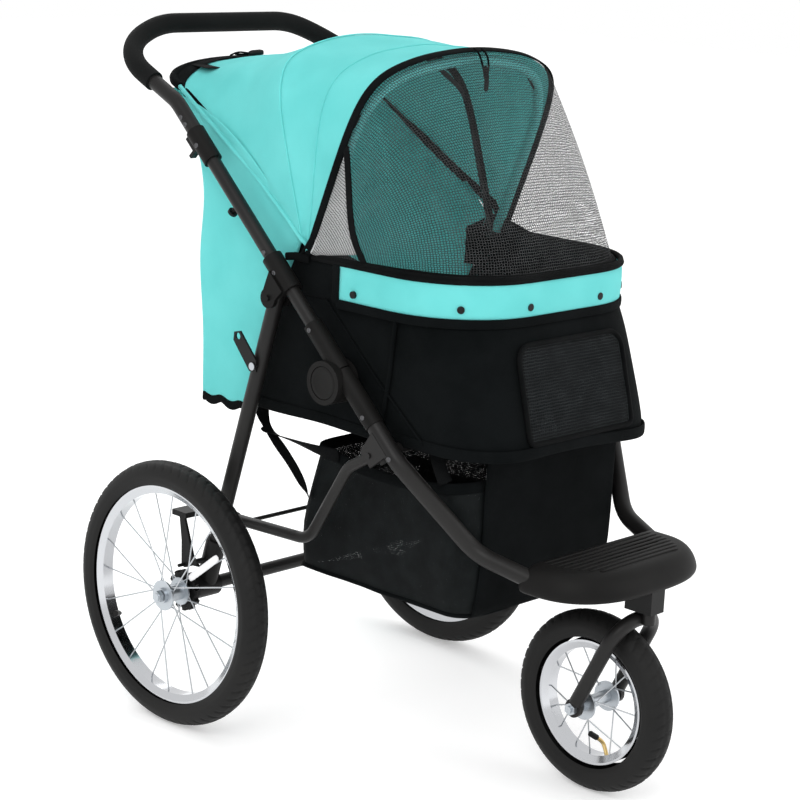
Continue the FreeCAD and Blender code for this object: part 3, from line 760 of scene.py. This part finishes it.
def make_rim():
    """The teal band round the cabin's rim, its binding and its two zips."""
    levels = ((646, -459), (662, -460.5), (680, -461), (694, -460), (700, -458))
    rows = [[at(*point) for point in tub_row(z, front, 128, RIM_END, CABIN + 8)]
            for z, front in levels]
    band = grid("rim_band", rows, TEAL, 0.003, 1)
    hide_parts("cabin_rim")
    ride(band, "front_frame")
    low = [at(*point) for point in tub_row(645, -460, 128, RIM_END, CABIN + 9)]
    sew(ribbon("rim_binding", low, UP, 0.013, 0.004, BLACK))
    for name, side in SIDES:
        end = [at(side * (CABIN + 9.5), RIM_END, z) for z in (644, 674, 700)]
        sew(ribbon("rim_end_" + name, resample(end, 8), Vector((0, 1, 0)), 0.013, 0.004, BLACK))
    for index, (height, grow) in enumerate(((699.5, 7.5), (703.5, 5.5))):
        line = [at(*point) for point in tub_row(height, -459, 128, -180, CABIN + grow)]
        sew(curve_tube("rim_zip_%d" % index, line, 0.0034, WEBBING))


# Places (y, added height) along the top of the lining inside the canopy's lower corners.
CORNER_TOP = ((-106, 0), (-130, 12), (-158, 26), (-196, 20), (-235, 9), (-262, 2))


def make_gussets():
    """Black cloth between the rim band's ends and the canopy's lower corners, and inside."""
    for name, side in SIDES:
        rows = []
        for z, rear in ((644, -118), (660, -124), (680, -134), (702, -146)):
            x = side * (CABIN + 2.5 + 4 * (z - 644) / 58)
            rows.append([at(x, rear + (-245 - rear) * step / 8, z) for step in range(9)])
        sew(grid("gusset_" + name, rows, BLACK, 0.003, 1))
        corner = [[at(side * (CABIN - 6.5), y, z + lift * rise) for y, rise in CORNER_TOP]
                  for z, lift in ((645, 0), (675, 0), (700, 1))]
        sew(grid("corner_lining_" + name, corner, BLACK, 0.0012))
    rows = [[at(*point) for point in tub_row(z, front, 124, -138, CABIN + 2)]
            for z, front in ((646, -451), (675, -453), (701, -452))]
    sew(grid("rim_lining", rows, BLACK, 0.0012))


make_tub()
make_gussets()
make_front_panel()
make_tub_seams()
make_rim()


# ---------------------------------------------------------------- basket

# Heights, with the front's y, the corners' radius, half the width and the rear's y at each.
BASKET_LEVELS = ((243, -438, 34, 150, -124), (262, -446, 40, 157, -127),
                 (310, -451, 40, 165, -134), (370, -452, 40, 167, -152),
                 (428, -450, 40, 167, -166))
# Heights and y of the basket's solid front.
BASKET_FRONT = ((240, -441), (262, -449), (310, -455), (370, -456), (430, -456), (476, -458))


def make_basket():
    """A net basket with a cloth floor and front, bound and piped round its edges."""
    rows = []
    for z, front, corner, half, rear in BASKET_LEVELS:
        loop = tub_row(z, front, corner, rear, half)
        back = [(half - 2 * half * step / 12, rear + 3, z) for step in range(1, 12)]
        points = []
        for x, y, height in loop + back:
            point = at(x, y, height)
            sag = 16 * abs(math.sin((y + 450) / 290 * math.pi)) if height > 400 else 0
            out = Vector((x, y + 300, 0)).normalized()
            points.append(point + Vector((0, 0, -sag / 1000)) + out * crease(point, 16, 5, 5))
        rows.append(points)
    net = grid("basket_net", rows, BASKET_NET, levels=1, round_trip=True)
    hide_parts("basket")
    ride(net, "front_frame")
    floor_rows = [[at(*point) for point in tub_row(242, -437 + inset, 34, -125 - inset * 0.4,
                                                   149, inset)] for inset in (0, 30, 80, 125)]
    sew(grid("basket_floor", floor_rows, BLACK, 0.0025))
    hem = rows[-1] + rows[-1][:1]
    sew(ribbon("basket_hem", hem, UP, 0.016, 0.004, BLACK))
    sew(curve_tube("basket_piping", rows[0], 0.0032, BLACK, closed=True))
    panel = [[at(x * 11.4, front - 1.5 * math.cos(x / 12 * math.pi / 2), z)
              for x in range(-12, 13)] for z, front in BASKET_FRONT]
    sew(grid("basket_front", panel, BLACK, 0.003, 1))


# Each strap's route on one side as (y, z, twist), from the cabin down to the basket.
STRAPS = {
    "rear_strap": ((-55, 466, 0.2), (-62, 446, 0.6), (-82, 430, 1.0), (-106, 408, 0.5),
                   (-128, 388, 0.2), (-158, 352, 0.1)),
    "side_strap": ((-68, 440, 1.2), (-74, 430, 0.8), (-110, 428, 0.4), (-170, 424, 0.2),
                   (-215, 424, 0.1)),
    "front_strap": ((-290, 474, 0.1), (-298, 455, 0.3), (-312, 432, 0.2)),
    "tray_strap": ((-395, 474, 0.1), (-402, 455, 0.4), (-415, 430, 0.1)),
}


def make_straps():
    """Webbing that hangs the basket from the tray frame and ties the cabin down."""
    for name, side in SIDES:
        for kind, stops in STRAPS.items():
            line, across = [], []
            for y, z, twist in stops:
                line.append(at(side * (170 + 6 * twist), y, z))
                across.append(Vector((side * twist, 0.5, 0.9 - 0.5 * twist)))
            line = resample(soften(line), 18)
            across = resample(soften(across), 18)
            sew(ribbon("%s_%s" % (kind, name), line, across, 0.02, 0.0016, WEBBING))


make_basket()
make_straps()


# ---------------------------------------------------------------- cushion

def make_cushion():
    """A crowned pad with rounded corners on the cabin's floor."""
    low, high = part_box("cushion")
    centre = (low + high) / 2
    size = high - low
    steps, around, square = 10, 64, 0.35
    rows = []
    for step in range(steps + 1):
        angle = math.pi * step / steps - math.pi / 2
        shrink = 1 - 0.10 * (1 - math.cos(angle))
        z = centre.z + 0.40 * size.z * math.sin(angle)
        ring = []
        for index in range(around):
            turn = 2 * math.pi * index / around
            x = math.copysign(abs(math.cos(turn)) ** square, math.cos(turn))
            y = math.copysign(abs(math.sin(turn)) ** square, math.sin(turn))
            # the simulation magnifies rounding, so the order of these sums matters
            ring.append(Vector((centre.x + x * size.x * 0.48 * shrink,
                                centre.y + y * size.y * 0.48 * shrink, z)))
        rows.append(ring)
    points, faces, _ = surface(rows, True)
    pad = link_mesh("cushion_pad", points, faces + end_caps(rows), BLACK)
    inflate(pad, low, high)
    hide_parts("cushion")
    sew(pad)


def inflate(pad, low, high):
    """Remeshes the pad, puffs it up as cloth under pressure and keeps the result."""
    furthest, margin = 0.006, 0.001
    bpy.context.view_layer.objects.active = pad
    remesh = pad.modifiers.new("remesh", "REMESH")
    remesh.mode = "VOXEL"
    remesh.voxel_size = 0.006
    bake(pad)
    before = [vertex.co.copy() for vertex in pad.data.vertices]
    cloth = pad.modifiers.new("cloth", "CLOTH")
    cloth.settings.use_pressure = True
    cloth.settings.uniform_pressure_force = 4
    cloth.settings.effector_weights.gravity = 0
    scene = bpy.context.scene
    for frame_number in range(1, 13):
        scene.frame_set(frame_number)
    bake(pad)
    scene.frame_set(1)
    for vertex, start in zip(pad.data.vertices, before):
        move = vertex.co - start
        if move.length > furthest:
            move = move.normalized() * furthest
        vertex.co = Vector(min(max(value, least + margin), most - margin)
                           for value, least, most in zip(start + move, low, high))
    smoothed(pad)


def bake(made):
    """Replaces the object's mesh by what its modifiers make."""
    graph = bpy.context.evaluated_depsgraph_get()
    shaped = bpy.data.meshes.new_from_object(made.evaluated_get(graph))
    made.modifiers.clear()
    made.data = shaped
    for polygon in shaped.polygons:
        polygon.use_smooth = True


make_cushion()


# ---------------------------------------------------------------- wheels

def wheel_centre(body):
    return Vector(JOINTS[body + "_spin"]["pos_m"])


def make_tyre(body, section, blocks):
    """A tyre of a round section, with tread blocks; sizes in mm."""
    node = body + "_tyre"
    centre = wheel_centre(body)
    low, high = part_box(node)
    middle = (high.z - low.z) / 2 * 1000 - section
    per_block, count, limit = 8, 31, math.radians(128)
    steps = blocks * per_block
    rows = []
    for index in range(count):
        phi = -limit + 2 * limit * index / (count - 1)
        row = []
        for step in range(steps):
            turn = 2 * math.pi * step / steps
            reach = section + tread(phi, step / per_block)
            radius = middle + reach * math.cos(phi)
            spot = Vector((reach * math.sin(phi), radius * math.sin(turn),
                           radius * math.cos(turn)))
            row.append(centre + spot / 1000)
        rows.append(row)
    made = grid(node + "_rubber", rows, RUBBER, round_trip=True)
    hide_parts(node)
    ride(made, body)


def tread(phi, block):
    """Height of the tread at an angle from the crown, in mm."""
    shoulder, groove_share = 58, 0.2
    tilt = abs(math.degrees(phi))
    if tilt > shoulder:
        on_rib = 84 < tilt < 88 or 110 < tilt < 114
        return 0.5 if on_rib else 0.0
    if 14 < tilt < 19 or 38 < tilt < 42:
        return -1.2
    phase = (block + tilt / shoulder * 0.8) % 1
    return -1.5 if phase < groove_share else 0.0


def make_valve(body, angle, radius, metal):
    """A valve stem that stands in from the rim and leans to the wheel's right, with its cap."""
    out = Vector((0, math.sin(angle), math.cos(angle)))
    lean = Vector((-0.35, 0, 0))
    start = wheel_centre(body) + out * (radius / 1000)
    points = [start, start - out * 0.012, start - out * 0.020 + lean * 0.012,
              start - out * 0.026 + lean * 0.035]
    ride(curve_tube(body + "_valve_stem", points, 0.0028, metal), body)
    tip = points[-1]
    run = (tip - points[-2]).normalized()
    cap = curve_tube(body + "_valve_cap", [tip, tip + run * 0.006, tip + run * 0.014], 0.0042,
                     DARK_PLASTIC)
    ride(cap, body)


def paint_brake_ring(body):
    """Gives the faces of the rear hub's brake ring their own material."""
    hub = NODES[body + "_hub"]
    hub.data.materials.append(DARK_PLASTIC)
    inner, from_x, to_x = 13.5, 19, 28
    for polygon in hub.data.polygons:
        spot = (polygon.center - wheel_centre(body)) * 1000
        if math.hypot(spot.y, spot.z) > inner and from_x <= abs(spot.x) <= to_x:
            polygon.material_index = 1


def make_reflector(body, side, angle):
    """A white strip along a spoke, on the wheel's outer side."""
    out = Vector((0, math.sin(angle), math.cos(angle)))
    across = Vector((0, math.cos(angle), -math.sin(angle)))
    start = wheel_centre(body) + Vector((side * 0.006, 0, 0))
    points = [start + out * (reach / 1000) for reach in (52, 70, 95, 118, 132)]
    ride(ribbon(body + "_reflector", points, across, 0.011, 0.003, WHITE), body)


for side_name, sign in SIDES:
    rear_wheel = "rear_wheel_" + side_name
    make_tyre(rear_wheel, section=21, blocks=66)
    make_valve(rear_wheel, math.radians(118), 146, DARK_PLASTIC)
    make_reflector(rear_wheel, sign, math.radians(-52))
make_tyre("front_wheel", section=22, blocks=46)
make_valve("front_wheel", math.radians(200), 75, BRASS)


# ---------------------------------------------------------------- footrest

# The shell's levels as (inset, z), from its underside round its edge to its top.
FOOTREST_LEVELS = ((60, 303), (12, 303), (4, 304.5), (1, 308), (0, 313), (2.5, 321), (6.5, 329),
                   (12.5, 336), (20, 340.5), (28, 342), (44, 342), (60, 342))


def footrest_ring(inset, z):
    """A level of the shell: straight at the rear and rounded at the front."""
    rear, front, half = -526 - 0.4 * inset, -650 + inset, 148 - inset
    points = []
    for step in range(21):
        points.append(at(half - 2 * half * step / 20, rear, z))
    for step in range(1, 30):
        angle = math.pi * step / 30
        x = -half * math.copysign(abs(math.cos(angle)) ** 0.75, math.cos(angle))
        y = rear - 22 + (front - rear + 22) * math.sin(angle) ** 0.8
        points.append(at(x, y, z))
    return resample(points + points[:1], 73)[:-1]


def make_footrest():
    rows = [footrest_ring(inset, z) for inset, z in FOOTREST_LEVELS]
    shell = grid("footrest_shell", rows, PLASTIC, levels=1, round_trip=True)
    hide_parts("footrest")
    ride(shell, "front_frame")
    for index in range(8):
        y = -543 - index * 10
        span = 116 * math.sqrt(1 - (max(0, -y - 552) / 88) ** 2)
        points = [at(-span + 2 * span * step / 10, y, 342) for step in range(11)]
        ride(ribbon("footrest_rib_%d" % index, points, Vector((0, 1, 0)), 0.0065, 0.0028,
                    PLASTIC), "front_frame")


make_footrest()


# ---------------------------------------------------------------- small parts

# Screws on both side tubes: place along the tube from the main hinge, and the head's height.
SCREWS = {
    "upper_frame": ((448, 11), (435, 11), (397, 13.5), (205, 10), (170, 14.5), (72, 13.5)),
    "front_frame": ((-74, 13.5), (-142, 12)),
}


def make_screws():
    radius = 3.6
    profile = [(-1.0, radius), (0.4, radius), (1.2, radius * 0.72), (1.2, radius * 0.34),
               (0.5, radius * 0.3), (0.5, 0.01)]
    for body, places in SCREWS.items():
        for index, (u, height) in enumerate(places):
            for name, side in SIDES:
                out = Vector((side, 0, 0))
                place = along(u, side * TUBE_SIDE) + out * (height / 1000)
                head = lathe("screw_%s_%d_%s" % (body, index, name), profile, place, out,
                             DARK_SCREW, 20)
                ride(head, body)


def make_hinge_caps():
    profile = [(0, 22.5), (1.6, 22.5), (2.2, 21.5), (1.4, 17), (1.2, 6), (1.2, 0.01)]
    for name, side in SIDES:
        centre = Vector(HINGE) + Vector((side * 0.2395, 0, 0))
        ride(lathe("hinge_cap_" + name, profile, centre, Vector((side, 0, 0)), PLASTIC, 64),
             "upper_frame")


def make_canopy_ties():
    """Straps from the canopy's lower corners to the frame, and the window's toggle loop."""
    for name, side in SIDES:
        arm = [at(side * 204, -128, 694), at(side * 206, -150, 698), at(side * 203, -176, 696)]
        sew(ribbon("corner_arm_" + name, resample(arm, 8), UP, 0.011, 0.003, WEBBING))
        strut = [at(side * 199, -172, 722), at(side * 200, -160, 704), at(side * 201, -154, 690)]
        sew(curve_tube("corner_cord_" + name, resample(strut, 6), 0.003, WEBBING))
    loop = [at(-14, -284, 985), at(-10, -292, 978), at(2, -291, 952), at(8, -288, 940),
            at(12, -291, 956), at(6, -292, 976), at(-2, -286, 985)]
    ride(curve_tube("window_loop", soften(loop), 0.0014, WEBBING), "canopy")
    tail = [at(2, -292, 962), at(6, -293, 944), at(5, -293, 926)]
    ride(ribbon("window_tail", resample(tail, 6), Vector((1, 0, 0)), 0.009, 0.002, WEBBING),
         "canopy")


make_screws()
make_hinge_caps()
make_canopy_ties()


# ---------------------------------------------------------------- finishes of the CAD nodes

FINISHES = (
    (PAINT, ("rear_leg_right", "rear_leg_left", "axle_tube", "upper_tube_right",
             "upper_tube_left", "handle_bar", "front_tube_right", "front_tube_left",
             "tray_frame", "link_right", "link_left", "cross_rod", "fork", "front_hoop",
             "mid_hoop")),
    (FOAM, ("handle_grip",)),
    (ZINC, ("front_axle", "wheel_axles", "hinge_pins", "latch_pin")),
    (BLACK, ("floor_board",)),
    (DARK_PLASTIC, ("headset", "swivel_lock", "brake_pedal_right", "brake_pedal_left",
                    "fold_trigger_right", "fold_trigger_left", "latch_post", "band_snaps",
                    "axle_bracket_right", "axle_bracket_left", "storage_latch")),
)
WHEEL_FINISHES = (("_rim", CHROME), ("_spokes", STEEL), ("_hub", ZINC))


def finish_of(node):
    for material, names in FINISHES:
        if node in names:
            return material
    for ending, material in WHEEL_FINISHES:
        if "_wheel" in node and node.endswith(ending):
            return material
    return PLASTIC


for node_name, piece in NODES.items():
    piece.data.materials.clear()
    piece.data.materials.append(finish_of(node_name))
for side_name, _ in SIDES:
    paint_brake_ring("rear_wheel_" + side_name)


# ---------------------------------------------------------------- camera and light

def make_camera():
    """Looks from the front right, a little above, rolled by a small angle."""
    turn, rise, roll = math.radians(-46.5153), math.radians(13.3804), math.radians(2.6122)
    target = at(-48.1, -209.1, 486)
    distance = 3.1118
    back = Vector((math.sin(turn) * math.cos(rise), -math.cos(turn) * math.cos(rise),
                   math.sin(rise)))
    right = Vector((math.cos(turn), math.sin(turn), 0))
    up = back.cross(right)
    rolled_right = right * math.cos(roll) + up * math.sin(roll)
    rolled_up = up * math.cos(roll) - right * math.sin(roll)
    data = bpy.data.cameras.new("camera")
    data.sensor_width = 36
    data.lens = 99
    camera = bpy.data.objects.new("camera", data)
    turned = Matrix((rolled_right, rolled_up, back)).transposed().to_4x4()
    camera.matrix_world = Matrix.Translation(target + back * distance) @ turned
    bpy.context.scene.collection.objects.link(camera)
    bpy.context.scene.camera = camera


def area_light(name, place, target, size, power):
    data = bpy.data.lights.new(name, "AREA")
    data.energy = power
    data.size = size
    lamp = bpy.data.objects.new(name, data)
    lamp.location = place
    lamp.rotation_euler = (Vector(target) - Vector(place)).to_track_quat("-Z", "Y").to_euler()
    bpy.context.scene.collection.objects.link(lamp)


def make_studio():
    """A white room: bright surroundings, a floor that melts into them and soft lamps."""
    white, _, shader = new_material("studio_white", (0.88, 0.88, 0.88), 0.95, 0, 0.0)
    shader.inputs["Emission Color"].default_value = (1, 1, 1, 1)
    shader.inputs["Emission Strength"].default_value = 0.3
    corners = [Vector((x * 12, y * 12, 0)) for x, y in ((-1, -1), (1, -1), (1, 1), (-1, 1))]
    ground = link_mesh("studio_floor", corners, [(0, 1, 2, 3)], white)
    world = bpy.data.worlds.new("studio")
    world.use_nodes = True
    background = world.node_tree.nodes["Background"]
    background.inputs["Color"].default_value = (1, 1, 1, 1)
    background.inputs["Strength"].default_value = 1.0
    bpy.context.scene.world = world
    area_light("key", (-2.6, -1.6, 2.9), (0, 0, 0.5), 1.8, 42)
    area_light("fill", (1.6, -3.2, 1.8), (0, 0, 0.5), 2.2, 24)
    area_light("back", (1.0, 2.6, 2.6), (0, 0, 0.6), 2.0, 26)
    bpy.context.scene.view_settings.view_transform = "Standard"


make_camera()
make_studio()
